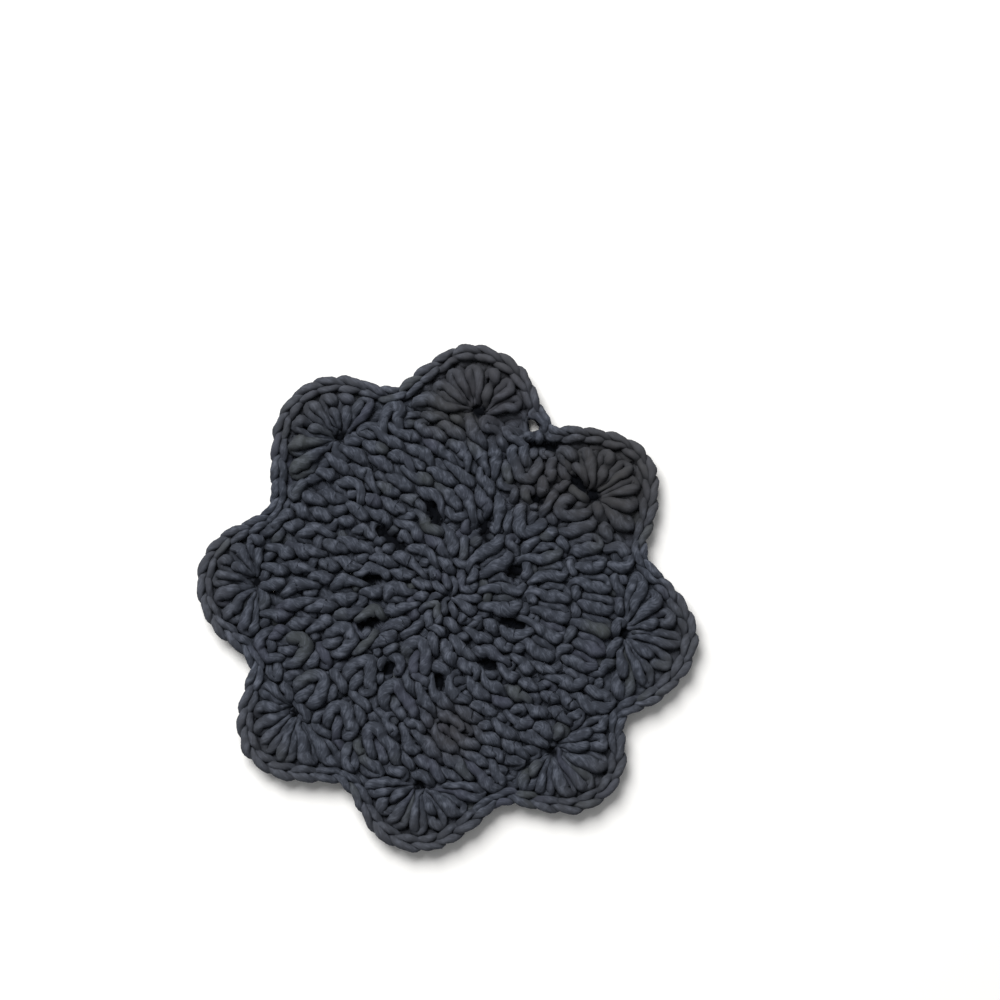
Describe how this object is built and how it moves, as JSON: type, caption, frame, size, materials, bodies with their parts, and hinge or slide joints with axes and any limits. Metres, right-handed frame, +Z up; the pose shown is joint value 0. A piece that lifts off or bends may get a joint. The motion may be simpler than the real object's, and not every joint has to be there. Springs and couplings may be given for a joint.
{
  "type": "crochet coaster",
  "caption": "Round crocheted drink coaster of thick matte yarn with a ribbed, scalloped edge, lying flat.",
  "frame": {"origin": "centre of the coaster's bounding box, on the surface that it lies on", "axes": "+Z up out of the worked face, +X to the right and +Y away from the viewer as the coaster lies in the picture"},
  "size_m": [0.1098, 0.1124, 0.0056],
  "materials": {
    "yarn": "thick soft cotton yarn, matte, dark blue-grey with a few olive-brown stretches"
  },
  "bodies": {
    "root": {"coaster": "yarn"}
  },
  "joints": []
}
